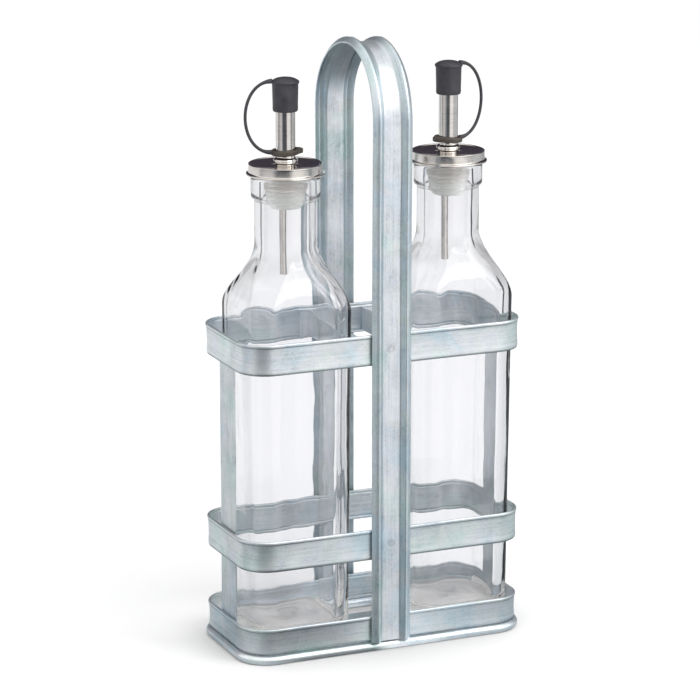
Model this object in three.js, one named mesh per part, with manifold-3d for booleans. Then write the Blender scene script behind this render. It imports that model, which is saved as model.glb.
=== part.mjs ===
// Cruet set: two square glass bottles with stainless pourers, standing in a galvanised
// steel carrier with a strap handle.
// Millimetres, +Z up. X runs along the carrier, Y across it. The origin is the middle of
// the carrier's foot, on the surface that the set stands on.
import * as THREE from 'three';
import { mergeVertices } from 'three/addons/utils/BufferGeometryUtils.js';
import Module from 'manifold-3d';

const wasm = await Module();
wasm.setup();

// ---- driving dimensions -------------------------------------------------------------

const SHEET = 0.8;            // thickness of the galvanised sheet
const GAP = 0.3;              // clearance between pieces that touch
const ARC_STEPS = 3;          // a quarter bend gets twice this many facets

// Carrier: rounded-rectangle bands, measured over their outer faces.
const CARRIER = {
  halfLength: 75,
  halfWidth: 33.8,
  cornerRadius: 15,
};
const WIRE_RADIUS = 2.25;     // rolled foot of the carrier
const WIRE_FLAT = 0.35;       // half width of the flat that the foot stands on
const WIRE_INSET = 0.7;       // how far the foot's middle lies inside the bands' outer face
const BAND_HEIGHT = 15.4;
const TOP_BAND_Z = 162.1;     // upper edges of the three bands
const MIDDLE_BAND_Z = 63.0;
const BOTTOM_BAND_Z = 18.2;
const LIP = { height: 1.3, proud: 0.35 };   // hemmed edge of each band

// Handle strap: one beaded strip, up one side, over in a half circle and down the other.
const STRAP = {
  halfWidth: 10.3,
  foot: 5.0,                  // height of its two lower ends
  springZ: 265.5,             // centre of the half circle
  beadAt: 7.15,               // distance of each bead's crest from the middle
  beadInside: 2.75,           // from a bead's crest in to the flat web
  beadHeight: 3.0,
  edgeRise: 0.6,              // the outer edges don't come all the way back to the web
  edgeBend: 0.62,             // share of a half wave that each bead's outer side follows
};

// Cradle strap: runs down one end, under both bottles and up the other end.
const CRADLE = { width: 19, centreY: -2, floorZ: 4.9, topZ: 160, bend: 3.5 };

// Divider straps: one on each side of the handle, between the bottles.
const DIVIDER = { x: 13.4, bottomZ: 148.2, topZ: 159.8, tab: 8 };

// Bottles: tapered square body, ogee shoulder, round neck with a lip ring.
const BOTTLE = {
  footZ: CRADLE.floorZ + SHEET + GAP,
  footHalf: 25.2,
  bodyHalf: 26.5,
  cornerRadius: 9,
  heelRound: 2.2,
  shoulderZ: 172,
  neckZ: 205,
  neckRadius: 15.5,
  lipRadius: 17.1,
  lipZ: 227.6,
  topZ: 238.1,
  lipRound: 1.5,
  puntRise: 2.6,
  restInset: 4.5,             // the ring that it stands on, in from the foot's edge
  floorThickness: 7.2,
  floorRound: 5,              // the curve from the floor up into the wall
  wall: 3.2,
  boreRadius: 11.5,
};
const SIDES = [
  { name: 'left', x: -41.0, tetherAngle: 170, capRaised: 0 },
  { name: 'right', x: 46.2, tetherAngle: 10, capRaised: 2.6 },
];

// Pourer: plastic stopper, pressed crown, spout with a swaged collar, breather tube.
const STOPPER = {
  flangeRadius: 11.2,
  flangeHeight: 6.4,
  plugTop: 9.8,
  plugEnd: 8.2,
  round: 1,
  bottomZ: 222.2,
};
const CROWN = {
  bottomZ: BOTTLE.topZ + GAP,
  flangeRadius: 19.4,
  flangeHeight: 0.7,
  wallRadius: 18.1,
  rimZ: 243.9,
  rimWidth: 1.2,
  dishDepth: 1.3,
};
const SPOUT = {
  radius: 4.8,
  bore: 4.0,
  bottomZ: 231.5,
  topZ: 282.6,
  collarRadius: 6.0,
  collarZ: 244.6,
  collarHeight: 1.2,
};
const BREATHER = { radius: 1.8, bore: 1.2, bottomZ: 189.5, offset: 1.6, overlap: 3 };
const OIL_HOLE = { radius: 1.3, offset: 3.2 };

// Rubber closure: ring round the spout, tether, cap.
const RING = { inner: SPOUT.radius + GAP, outer: 7.1, bottomZ: 247.9, height: 3.1, round: 0.8 };
const CAP = {
  bottomZ: 269.4,
  height: 16.8,
  skirtRadius: 6.0,
  skirtFlare: 0.4,
  skirtHeight: 13.6,
  headRadius: 7.0,
  headEdge: 1.5,
  bore: SPOUT.radius + GAP,
  boreDepth: 14.3,
};
const TETHER = { radius: 0.65, reach: 21.6, capZ: 14.9, sides: 6, steps: 18 };

// ---- materials ----------------------------------------------------------------------

const MATERIALS = {
  galvanised: { color: 0xc9d1d5, roughness: 0.42, metalness: 0.9 },
  glass: { color: 0xf1f4f5, roughness: 0.05, metalness: 0, transparent: true, opacity: 0.35 },
  stainless: { color: 0xb9b6b3, roughness: 0.2, metalness: 1 },
  plastic: { color: 0xc9c8c1, roughness: 0.45, metalness: 0 },
  rubber: { color: 0x2b2a2e, roughness: 0.6, metalness: 0 },
};

const cruetSet = new THREE.Group();

function addPiece(parent, name, geometry, materialName) {
  const material = new THREE.MeshStandardMaterial(MATERIALS[materialName]);
  const mesh = new THREE.Mesh(geometry, material);
  mesh.name = name;
  parent.add(mesh);
  return mesh;
}

// ---- solids -------------------------------------------------------------------------

function toSolid(geometry) {
  const bare = geometry.clone();
  bare.deleteAttribute('normal');
  bare.deleteAttribute('uv');
  const welded = mergeVertices(bare, 1e-4);
  const vertProperties = new Float32Array(welded.attributes.position.array);
  const triVerts = new Uint32Array(welded.index.array);
  return new wasm.Manifold(new wasm.Mesh({ numProp: 3, vertProperties, triVerts }));
}

function toGeometry(solid) {
  const mesh = solid.getMesh();
  const geometry = new THREE.BufferGeometry();
  geometry.setAttribute('position', new THREE.BufferAttribute(mesh.vertProperties, 3));
  geometry.setIndex(new THREE.BufferAttribute(mesh.triVerts, 1));
  geometry.computeVertexNormals();
  return geometry;
}

// A turned shape: the profile is a list of [radius, height], walked up its outside.
function turned(profile, segments) {
  const points = profile.map(([radius, height]) => new THREE.Vector2(radius, height));
  return new THREE.LatheGeometry(points, segments).rotateX(Math.PI / 2);
}

function closedLoop(profile) {
  return [...profile, profile[0]];
}

// ---- carrier ------------------------------------------------------------------------

// The carrier's rounded-rectangle outline, moved out by an offset (in when negative).
function carrierOutline(path, offset) {
  const halfLength = CARRIER.halfLength + offset;
  const halfWidth = CARRIER.halfWidth + offset;
  const radius = CARRIER.cornerRadius + offset;
  const quarter = Math.PI / 2;
  const corners = [[1, 1], [-1, 1], [-1, -1], [1, -1]];
  corners.forEach(([signX, signY], index) => {
    const centreX = signX * (halfLength - radius);
    const centreY = signY * (halfWidth - radius);
    path.absarc(centreX, centreY, radius, index * quarter, (index + 1) * quarter, false);
  });
  path.closePath();
  return path;
}

function carrierRing(outerOffset, innerOffset, depth, bevel) {
  const ring = carrierOutline(new THREE.Shape(), outerOffset);
  ring.holes.push(carrierOutline(new THREE.Path(), innerOffset));
  return new THREE.ExtrudeGeometry(ring, { depth, curveSegments: ARC_STEPS, ...bevel });
}

// One hoop of sheet with a hemmed lip along its upper edge, and along its lower edge too
// unless that edge is plain.
function band(topZ, bottomZ, plainBelow = false) {
  const flat = { bevelEnabled: false };
  const wall = carrierRing(0, -SHEET, topZ - bottomZ, flat).translate(0, 0, bottomZ);
  const lip = () => carrierRing(LIP.proud, -SHEET / 2, LIP.height, flat);
  const upper = lip().translate(0, 0, topZ - LIP.height);
  const hoop = toSolid(wall).add(toSolid(upper));
  if (plainBelow) {
    return toGeometry(hoop);
  }
  return toGeometry(hoop.add(toSolid(lip().translate(0, 0, bottomZ))));
}

// The rolled foot: a round wire with a narrow flat underneath, just proud of the bands.
function baseRim() {
  const centre = -WIRE_INSET;
  const roll = WIRE_RADIUS - WIRE_FLAT;
  const bevel = {
    bevelEnabled: true,
    bevelThickness: roll,
    bevelSize: roll,
    bevelSegments: 3,
  };
  const ring = carrierRing(centre + WIRE_FLAT, centre - WIRE_FLAT, 2 * WIRE_FLAT, bevel);
  return ring.translate(0, 0, roll);
}

// How far the strap's inner face stands out from its inner plane, across the strip.
function strapRise(across) {
  const fromCrest = Math.abs(across) - STRAP.beadAt;
  if (fromCrest < 0) {
    const inwards = Math.min(1, -fromCrest / STRAP.beadInside);
    return STRAP.beadHeight * 0.5 * (1 + Math.cos(Math.PI * inwards));
  }
  const outwards = fromCrest / (STRAP.halfWidth - STRAP.beadAt);
  const bend = STRAP.edgeBend * Math.PI;
  const fall = (1 - Math.cos(bend * outwards)) / (1 - Math.cos(bend));
  return THREE.MathUtils.lerp(STRAP.beadHeight, STRAP.edgeRise, fall);
}

// The strap's section, as [outward, across]: its inner face one way, its outer face back.
function strapSection() {
  const stations = 22;
  const across = (index) => STRAP.halfWidth * (2 * index / stations - 1);
  const points = [];
  for (let index = 0; index <= stations; index += 1) {
    points.push(new THREE.Vector2(strapRise(across(index)), across(index)));
  }
  for (let index = stations; index >= 0; index -= 1) {
    points.push(new THREE.Vector2(strapRise(across(index)) + SHEET, across(index)));
  }
  return new THREE.Shape(points);
}

// The strap's run: up the front, round the half circle and down the back. One step of the
// sweep covers each straight leg and the rest share the half circle.
class StrapRun extends THREE.Curve {
  constructor(radius, arcSteps) {
    super();
    this.radius = radius;
    this.arcSteps = arcSteps;
  }

  getPoint(t) {
    const step = t * (this.arcSteps + 2);
    const leg = STRAP.springZ - STRAP.foot;
    if (step < 1) {
      return new THREE.Vector3(0, -this.radius, STRAP.foot + leg * step);
    }
    if (step > this.arcSteps + 1) {
      return new THREE.Vector3(0, this.radius, STRAP.springZ - leg * (step - this.arcSteps - 1));
    }
    const angle = Math.PI * (step - 1) / this.arcSteps;
    const y = -this.radius * Math.cos(angle);
    return new THREE.Vector3(0, y, STRAP.springZ + this.radius * Math.sin(angle));
  }

  getTangent(t) {
    const step = THREE.MathUtils.clamp(t * (this.arcSteps + 2) - 1, 0, this.arcSteps);
    const angle = Math.PI * step / this.arcSteps;
    return new THREE.Vector3(0, Math.sin(angle), Math.cos(angle));
  }

  getPointAt(u) {
    return this.getPoint(u);
  }

  getTangentAt(u) {
    return this.getTangent(u);
  }
}

function handleStrap() {
  const arcSteps = 20;
  const radius = CARRIER.halfWidth + LIP.proud + GAP / 3;
  const extrudePath = new StrapRun(radius, arcSteps);
  return new THREE.ExtrudeGeometry(strapSection(), { steps: arcSteps + 2, extrudePath });
}

// The cradle strap seen from the front: a wide, flat-bottomed U.
function cradleStrap() {
  const outside = CARRIER.halfLength - SHEET - GAP;
  const inside = outside - SHEET;
  const floorTop = CRADLE.floorZ + SHEET;
  const outerBend = CRADLE.bend + SHEET;
  const bendX = outside - outerBend;
  const bendZ = CRADLE.floorZ + outerBend;
  const quarter = Math.PI / 2;
  const outline = new THREE.Shape();
  outline.moveTo(outside, CRADLE.topZ);
  outline.lineTo(inside, CRADLE.topZ);
  outline.absarc(bendX, bendZ, CRADLE.bend, 0, -quarter, true);
  outline.lineTo(-bendX, floorTop);
  outline.absarc(-bendX, bendZ, CRADLE.bend, -quarter, -2 * quarter, true);
  outline.lineTo(-inside, CRADLE.topZ);
  outline.lineTo(-outside, CRADLE.topZ);
  outline.absarc(-bendX, bendZ, outerBend, 2 * quarter, 3 * quarter, false);
  outline.absarc(bendX, bendZ, outerBend, 3 * quarter, 4 * quarter, false);
  outline.closePath();
  const settings = { depth: CRADLE.width, curveSegments: ARC_STEPS, bevelEnabled: false };
  const strap = new THREE.ExtrudeGeometry(outline, settings);
  return strap.rotateX(Math.PI / 2).translate(0, CRADLE.centreY + CRADLE.width / 2, 0);
}

// A divider seen from above: a straight web with a tab bent outwards at each end.
function dividerStrap(side) {
  const reach = CARRIER.halfWidth - SHEET - GAP / 2;
  const near = DIVIDER.x;
  const far = DIVIDER.x + SHEET;
  const tabEnd = DIVIDER.x + DIVIDER.tab;
  const corners = [
    [near, -reach], [tabEnd, -reach], [tabEnd, SHEET - reach], [far, SHEET - reach],
    [far, reach - SHEET], [tabEnd, reach - SHEET], [tabEnd, reach], [near, reach],
  ];
  const outline = new THREE.Shape(corners.map(([x, y]) => new THREE.Vector2(side * x, y)));
  const depth = DIVIDER.topZ - DIVIDER.bottomZ;
  const strap = new THREE.ExtrudeGeometry(outline, { depth, bevelEnabled: false });
  return strap.translate(0, 0, DIVIDER.bottomZ);
}

function addCarrier() {
  const rimTop = 2 * WIRE_RADIUS;
  addPiece(cruetSet, 'handle_strap', handleStrap(), 'galvanised');
  addPiece(cruetSet, 'top_band', band(TOP_BAND_Z, TOP_BAND_Z - BAND_HEIGHT), 'galvanised');
  addPiece(cruetSet, 'middle_band', band(MIDDLE_BAND_Z, MIDDLE_BAND_Z - BAND_HEIGHT), 'galvanised');
  const bottomBand = band(BOTTOM_BAND_Z, rimTop + GAP / 2, true);
  addPiece(cruetSet, 'bottom_band', bottomBand, 'galvanised');
  addPiece(cruetSet, 'base_rim', baseRim(), 'galvanised');
  addPiece(cruetSet, 'cradle_strap', cradleStrap(), 'galvanised');
  addPiece(cruetSet, 'left_divider', dividerStrap(-1), 'galvanised');
  addPiece(cruetSet, 'right_divider', dividerStrap(1), 'galvanised');
}

// ---- bottle -------------------------------------------------------------------------

// Distance from the middle of a rounded square to its edge, in a given direction.
function roundedSquareReach(halfWidth, cornerRadius, angle) {
  const quarter = Math.PI / 2;
  const turn = ((angle % quarter) + quarter) % quarter;
  const folded = Math.min(turn, quarter - turn);
  const centre = halfWidth - cornerRadius;
  if (halfWidth * Math.tan(folded) <= centre) {
    return halfWidth / Math.cos(folded);
  }
  const along = centre * (Math.cos(folded) + Math.sin(folded));
  const across = cornerRadius ** 2 - centre ** 2 * (1 - Math.sin(2 * folded));
  return along + Math.sqrt(across);
}

// How far the shoulder has closed in towards the neck: 0 on the body, 1 on the neck.
function shoulderClosing(z) {
  return THREE.MathUtils.smoothstep(z, BOTTLE.shoulderZ, BOTTLE.neckZ);
}

function bottleHalfWidth(z) {
  const up = THREE.MathUtils.clamp(
    (z - BOTTLE.footZ) / (BOTTLE.shoulderZ - BOTTLE.footZ), 0, 1);
  const body = THREE.MathUtils.lerp(BOTTLE.footHalf, BOTTLE.bodyHalf, up);
  return THREE.MathUtils.lerp(body, BOTTLE.neckRadius, shoulderClosing(z));
}

function shoulderStations(count) {
  const heights = [];
  for (let index = 0; index <= count; index += 1) {
    heights.push(THREE.MathUtils.lerp(BOTTLE.shoulderZ, BOTTLE.neckZ, index / count));
  }
  return heights;
}

function bottleProfile() {
  const foot = BOTTLE.footZ;
  const heel = BOTTLE.heelRound;
  const inner = foot + BOTTLE.floorThickness;
  const innerHalf = (z) => bottleHalfWidth(z) - BOTTLE.wall;
  const rest = BOTTLE.footHalf - BOTTLE.restInset;
  const lipRound = BOTTLE.lipRound;
  return [
    [0, foot + BOTTLE.puntRise],
    [rest - BOTTLE.puntRise, foot + BOTTLE.puntRise * 0.6],
    [rest, foot],
    [BOTTLE.footHalf - heel, foot],
    [BOTTLE.footHalf - 0.3 * heel, foot + 0.3 * heel],
    [bottleHalfWidth(foot + heel), foot + heel],
    ...shoulderStations(7).map((z) => [bottleHalfWidth(z), z]),
    [BOTTLE.neckRadius, BOTTLE.lipZ - lipRound],
    [BOTTLE.lipRadius, BOTTLE.lipZ],
    [BOTTLE.lipRadius, BOTTLE.topZ - lipRound],
    [BOTTLE.lipRadius - lipRound, BOTTLE.topZ],
    [BOTTLE.boreRadius, BOTTLE.topZ],
    [BOTTLE.boreRadius, BOTTLE.lipZ - lipRound],
    ...shoulderStations(6).reverse().map((z) => [innerHalf(z), z]),
    [innerHalf(inner) - 0.2 * BOTTLE.floorRound, inner + 0.8 * BOTTLE.floorRound],
    [innerHalf(inner) - BOTTLE.floorRound, inner],
    [0, inner],
  ];
}

function bottle() {
  const segments = 40;
  const shell = turned(bottleProfile(), segments);
  const position = shell.attributes.position;
  for (let index = 0; index < position.count; index += 1) {
    const x = position.getX(index);
    const y = position.getY(index);
    const z = position.getZ(index);
    const radius = Math.hypot(x, y);
    if (radius > 0) {
      const round = THREE.MathUtils.lerp(BOTTLE.cornerRadius, radius, shoulderClosing(z));
      const corner = Math.min(round, radius);
      const reach = roundedSquareReach(radius, corner, Math.atan2(y, x));
      position.setX(index, x * reach / radius);
      position.setY(index, y * reach / radius);
    }
  }
  return shell;
}

// ---- pourer -------------------------------------------------------------------------

function boreTool(radius, offset, bottomZ, topZ, segments) {
  const tool = turned([[0, bottomZ], [radius, bottomZ], [radius, topZ], [0, topZ]], segments);
  return toSolid(tool.translate(offset, 0, 0));
}

function stopper() {
  const top = BOTTLE.topZ + GAP / 3;
  const step = top - STOPPER.flangeHeight;
  const bottom = STOPPER.bottomZ;
  const body = turned([
    [0, bottom],
    [STOPPER.plugEnd - STOPPER.round, bottom],
    [STOPPER.plugEnd, bottom + STOPPER.round],
    [STOPPER.plugTop, step],
    [STOPPER.flangeRadius - STOPPER.round, step],
    [STOPPER.flangeRadius, step + STOPPER.round],
    [STOPPER.flangeRadius, top],
    [0, top],
  ], 20);
  const socket = boreTool(SPOUT.radius + GAP, 0, SPOUT.bottomZ - GAP, top + 1, 16);
  const air = boreTool(BREATHER.radius + GAP / 3, -BREATHER.offset, bottom - 1, top, 10);
  const oil = boreTool(OIL_HOLE.radius, OIL_HOLE.offset, bottom - 1, top, 8);
  return toGeometry(toSolid(body).subtract(socket).subtract(air).subtract(oil));
}

function crown() {
  const hole = SPOUT.radius + GAP;
  const bottom = CROWN.bottomZ;
  const flangeTop = bottom + CROWN.flangeHeight;
  const dishZ = CROWN.rimZ - CROWN.dishDepth;
  const wall = CROWN.wallRadius;
  const rim = CROWN.rimWidth;
  return turned(closedLoop([
    [hole, bottom],
    [CROWN.flangeRadius, bottom],
    [CROWN.flangeRadius, flangeTop],
    [wall + 0.25 * rim, flangeTop + 0.3 * rim],
    [wall, CROWN.rimZ - 0.4 * rim],
    [wall - 0.4 * rim, CROWN.rimZ],
    [wall - rim, CROWN.rimZ - 0.3 * rim],
    [wall - 2 * rim, dishZ],
    [hole, dishZ],
  ]), 24);
}

function spout() {
  const collar = SPOUT.collarZ;
  return turned(closedLoop([
    [SPOUT.bore, SPOUT.bottomZ],
    [SPOUT.radius, SPOUT.bottomZ],
    [SPOUT.radius, collar - 0.6 * SPOUT.collarHeight],
    [SPOUT.collarRadius, collar],
    [SPOUT.collarRadius, collar + SPOUT.collarHeight],
    [SPOUT.radius, collar + 2 * SPOUT.collarHeight],
    [SPOUT.radius, SPOUT.topZ],
    [SPOUT.bore, SPOUT.topZ],
  ]), 16);
}

function breatherTube() {
  const top = SPOUT.bottomZ + BREATHER.overlap;
  return turned(closedLoop([
    [BREATHER.bore, BREATHER.bottomZ],
    [BREATHER.radius, BREATHER.bottomZ],
    [BREATHER.radius, top],
    [BREATHER.bore, top],
  ]), 10);
}

// ---- rubber closure -----------------------------------------------------------------

function tetherRing() {
  const top = RING.bottomZ + RING.height;
  const round = RING.round;
  return turned(closedLoop([
    [RING.inner, RING.bottomZ],
    [RING.outer - round, RING.bottomZ],
    [RING.outer, RING.bottomZ + round],
    [RING.outer, top - round],
    [RING.outer - round, top],
    [RING.inner, top],
  ]), 16);
}

function spoutCap(bottomZ) {
  const head = bottomZ + CAP.skirtHeight;
  const top = bottomZ + CAP.height;
  const boreTop = bottomZ + CAP.boreDepth;
  return turned([
    [0, boreTop],
    [CAP.bore, boreTop],
    [CAP.bore, bottomZ],
    [CAP.skirtRadius, bottomZ],
    [CAP.skirtRadius + CAP.skirtFlare, head],
    [CAP.headRadius, head + 0.2 * CAP.headEdge],
    [CAP.headRadius, head + 1.2 * CAP.headEdge],
    [CAP.headRadius - CAP.headEdge, top - 0.3 * CAP.headEdge],
    [0, top],
  ], 18);
}

// The tether bows out from the cap's head and back in to the ring, as half an ellipse.
class TetherRun extends THREE.Curve {
  constructor(start, end, reach) {
    super();
    this.start = start;
    this.end = end;
    this.reach = reach;
  }

  getPoint(t) {
    const swing = Math.PI * t;
    const base = THREE.MathUtils.lerp(this.start.x, this.end.x, t);
    const middle = (this.start.y + this.end.y) / 2;
    const half = (this.start.y - this.end.y) / 2;
    const x = base + (this.reach - base) * Math.sin(swing);
    return new THREE.Vector3(x, 0, middle + half * Math.cos(swing));
  }
}

function tether(capBottomZ) {
  const start = new THREE.Vector2(CAP.headRadius + GAP, capBottomZ + TETHER.capZ);
  const end = new THREE.Vector2(RING.outer + GAP, RING.bottomZ + RING.height / 2);
  const section = new THREE.Shape();
  for (let index = 0; index < TETHER.sides; index += 1) {
    const angle = 2 * Math.PI * index / TETHER.sides;
    const x = TETHER.radius * Math.cos(angle);
    const y = TETHER.radius * Math.sin(angle);
    if (index === 0) {
      section.moveTo(x, y);
    } else {
      section.lineTo(x, y);
    }
  }
  section.closePath();
  const extrudePath = new TetherRun(start, end, TETHER.reach);
  return new THREE.ExtrudeGeometry(section, { steps: TETHER.steps, extrudePath });
}

// ---- one bottle with its pourer and closure -----------------------------------------

function addCruet(side) {
  const stand = new THREE.Group();
  stand.position.set(side.x, 0, 0);
  cruetSet.add(stand);
  const capBottomZ = CAP.bottomZ + side.capRaised;

  addPiece(stand, `${side.name}_bottle`, bottle(), 'glass');
  addPiece(stand, `${side.name}_stopper`, stopper(), 'plastic');
  addPiece(stand, `${side.name}_pourer_crown`, crown(), 'stainless');
  addPiece(stand, `${side.name}_spout_tube`, spout(), 'stainless');
  const air = addPiece(stand, `${side.name}_breather_tube`, breatherTube(), 'stainless');
  air.position.x = -BREATHER.offset;
  addPiece(stand, `${side.name}_tether_ring`, tetherRing(), 'rubber');
  addPiece(stand, `${side.name}_spout_cap`, spoutCap(capBottomZ), 'rubber');
  const strip = addPiece(stand, `${side.name}_tether`, tether(capBottomZ), 'rubber');
  strip.rotation.z = THREE.MathUtils.degToRad(side.tetherAngle);
}

addCarrier();
SIDES.forEach(addCruet);

export default cruetSet;
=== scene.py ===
"""Looks of the cruet set: two square glass bottles with capped stainless pourers in a galvanised
strap carrier. Metres, +Z up, X along the carrier, Y across it. Places and sizes come from the
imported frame; the values below only shape the detail within them."""

import math

import bpy
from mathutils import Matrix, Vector, noise


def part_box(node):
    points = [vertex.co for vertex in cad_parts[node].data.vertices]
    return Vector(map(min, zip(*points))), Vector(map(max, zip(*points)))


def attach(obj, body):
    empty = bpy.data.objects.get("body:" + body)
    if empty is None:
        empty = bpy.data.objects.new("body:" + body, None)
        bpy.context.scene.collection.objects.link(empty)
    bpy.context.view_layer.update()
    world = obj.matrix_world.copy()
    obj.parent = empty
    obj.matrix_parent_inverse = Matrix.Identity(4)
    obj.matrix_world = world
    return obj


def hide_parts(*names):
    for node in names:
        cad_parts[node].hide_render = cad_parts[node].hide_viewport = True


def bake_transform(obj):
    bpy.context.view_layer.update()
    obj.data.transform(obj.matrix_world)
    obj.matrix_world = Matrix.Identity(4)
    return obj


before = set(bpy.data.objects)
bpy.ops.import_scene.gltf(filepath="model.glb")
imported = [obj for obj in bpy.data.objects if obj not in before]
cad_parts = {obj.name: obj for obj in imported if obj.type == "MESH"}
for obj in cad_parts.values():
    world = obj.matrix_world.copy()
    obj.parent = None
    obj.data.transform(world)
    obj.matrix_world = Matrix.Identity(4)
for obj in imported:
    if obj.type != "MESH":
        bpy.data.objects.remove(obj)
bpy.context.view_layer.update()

MM = 0.001
TURN = 2 * math.pi
QUARTER = math.pi / 2
WHITE = (1.0, 1.0, 1.0)
SIDES = ("left", "right")

# Camera: the view that the set was built to match
VIEW_AZIMUTH = -23.72
VIEW_ELEVATION = 13.96
VIEW_DISTANCE = 1.6605
VIEW_CENTRE = Vector((0, 0, 0.150))
VIEW_SLIDE = (-6.27 * MM, -3.88 * MM)  # how far the aim sits right of and above the centre
LENS = 171.6

# Sheet metal
SHEET = 0.8 * MM
HEM_HEIGHT = 1.3 * MM
HEM_PROUD = 0.35 * MM
HEM_INSIDE = 0.25 * MM  # how far a hem stands in from the band's wall
BAND_HOLLOW = 0.3 * MM  # how far the band's wall dips between its hems
DENT = 0.22 * MM  # waviness of hand-finished sheet
RIM_DENT = 0.10 * MM
CRADLE_DENT = 0.12 * MM
DIVIDER_DENT = 0.16 * MM
CRADLE_BEND = 4.3 * MM  # radius of the bends at the ends of its floor run
CRADLE_CROWN = 0.35 * MM  # how much it is domed across its width
CRADLE_SHEET = 0.695 * MM

# Handle strap section, across its width
BEAD_AT = 7.15 * MM
BEAD_INSIDE = 2.75 * MM  # from a bead's crest to the flat web
BEAD_HEIGHT = 3.0 * MM
EDGE_RISE = 0.6 * MM
EDGE_BEND = 0.62 * math.pi  # how far the sheet bends round outside a bead's crest
HANDLE_DENT = 0.18 * MM
HANDLE_FINE_DENT = 0.07 * MM
HANDLE_BOW = 0.7 * MM  # the front leg bows out a little under the arch
BOW_REACH = 34 * MM  # and this far down
ARCH_LEAN = 3.7 * MM  # the hand-bent arch leans forwards at its top
ARCH_TWIST = 0.05  # and tips down to the right
ARCH_SPREAD = 0.6 * MM  # the beads move apart over the arch
ARCH_WEB_RISE = 0.7 * MM  # the web between them lifts
ARCH_OPENING = 2.3 * MM  # and their inner sides grow wider
WELD_RADIUS = 2.0 * MM
WELD_DEPTH = 0.15 * MM

# Bottles
BODY_CORNER = 9 * MM
NECK_RADIUS = 15.5 * MM
BORE_RADIUS = 11.5 * MM
LIP_RADIUS = 17.1 * MM
FOOT_HALF = 25.2 * MM
BODY_HALF = 26.5 * MM
WALL = 3.2 * MM
GLASS_FLOOR = 7.2 * MM
PUNT_RISE = 2.6 * MM
SHOULDER_UP = 166 * MM  # heights above the bottle's foot
NECK_UP = 199 * MM
LIP_UP = 221.6 * MM
GLASS_WAVE = 0.35 * MM  # waviness of the pressed inner face
OUTER_WAVE = 0.08 * MM

# Pourers: a spout through a crown and a stopper
SPOUT_RADIUS = 4.8 * MM
SPOUT_BORE = 4.0 * MM
COLLAR_UP = 13.1 * MM  # above the lower end of the spout
POURER_HOLE = 5.1 * MM  # radius of the hole that the spout fills
CROWN_LEDGE = 1.3 * MM  # from the foot flange's edge in to the skirt
DISH_DEPTH = 1.3 * MM
BREATHER_WALL = 0.6 * MM

# Stopper
STOPPER_MOUTH = 1.9 * MM  # radius of the hole in its tip
PLUG_TIP = 7.5 * MM
PLUG_LOW = 9.3 * MM  # its radius at the lowest rib and at the highest
PLUG_HIGH = 10.3 * MM
PLUG_RIBS = 3
FLANGE_HEIGHT = 6.4 * MM

# Rubber ring, cap and tether
RING_WIDTH = 1.9 * MM
RING_TILT = 0.4 * MM  # how far the tether's side sags
LUG_REACH = 1.6 * MM
LUG_SPREAD = 0.28  # radians to each side
CAP_BORE = 5.1 * MM
CAP_SKIRT = 6.0 * MM
CAP_DEPTH = 14.0 * MM
CAP_NECK_UP = 13.4 * MM  # where the head disc starts, above the hem
CAP_HOLD_UP = 14.9 * MM  # where the tether leaves the head
GRIP_RIBS = 36
GRIP_DEPTH = 0.10 * MM
TETHER_RADIUS = 0.78 * MM
TETHER_REACH = 19.9 * MM  # from the spout's axis to the loop's middle


# ---- mesh helpers ----

def lerp(low, high, share):
    return low + (high - low) * share


def smoothstep(value, low, high):
    share = min(1.0, max(0.0, (value - low) / (high - low)))
    return share * share * (3 - 2 * share)


def between(low, high, steps):
    """steps + 1 even values from low to high, both ends included."""
    return [lerp(low, high, index / steps) for index in range(steps + 1)]


def ripple(point, pitch, seed=0.0):
    """Smooth noise of about -1 to 1 that varies over the given pitch."""
    return noise.noise(point / pitch + Vector((seed, seed * 0.7, seed * 1.3)))


def angles(count):
    """Even angles round a full turn."""
    return [TURN * index / count for index in range(count)]


def level_way(angle):
    """The level direction at an angle from X."""
    return Vector((math.cos(angle), math.sin(angle), 0))


def box_of(node):
    """A CAD node's lowest corner, highest corner and middle."""
    low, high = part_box(node)
    return low, high, (low + high) / 2


def half_length(node):
    """Half a node's length along X: the radius of a round one."""
    low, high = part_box(node)
    return (high.x - low.x) / 2


def filled_in(track, spacing):
    """The points of an open outline, with more between them. The last point is left off."""
    filled = []
    for here, there in zip(track, track[1:]):
        steps = max(1, round((there - here).length / spacing))
        filled += [here.lerp(there, share) for share in between(0, 1, steps)[:-1]]
    return filled


def in_scene(name, data):
    made = bpy.data.objects.new(name, data)
    bpy.context.scene.collection.objects.link(made)
    return made


def rounded(points, closed=True, steps=4):
    """Rounds the corners of an outline. A point is (a, b) or (a, b, radius)."""
    made = []
    count = len(points)
    for index, point in enumerate(points):
        here = Vector(point[:2])
        radius = point[2] if len(point) > 2 else 0
        at_end = not closed and index in (0, count - 1)
        if radius == 0 or at_end:
            made.append(here)
            continue
        before = Vector(points[index - 1][:2]) - here
        after = Vector(points[(index + 1) % count][:2]) - here
        start = here + before.normalized() * min(radius, before.length * 0.48)
        end = here + after.normalized() * min(radius, after.length * 0.48)
        for share in between(0, 1, steps):
            first = start.lerp(here, share)
            second = here.lerp(end, share)
            made.append(first.lerp(second, share))
    return made


def distances_round(points):
    """How far round a closed outline each point is, ending back at the first point."""
    distances = [0.0]
    for here, there in zip(points, points[1:] + points[:1]):
        distances.append(distances[-1] + (there - here).length)
    return distances


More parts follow.
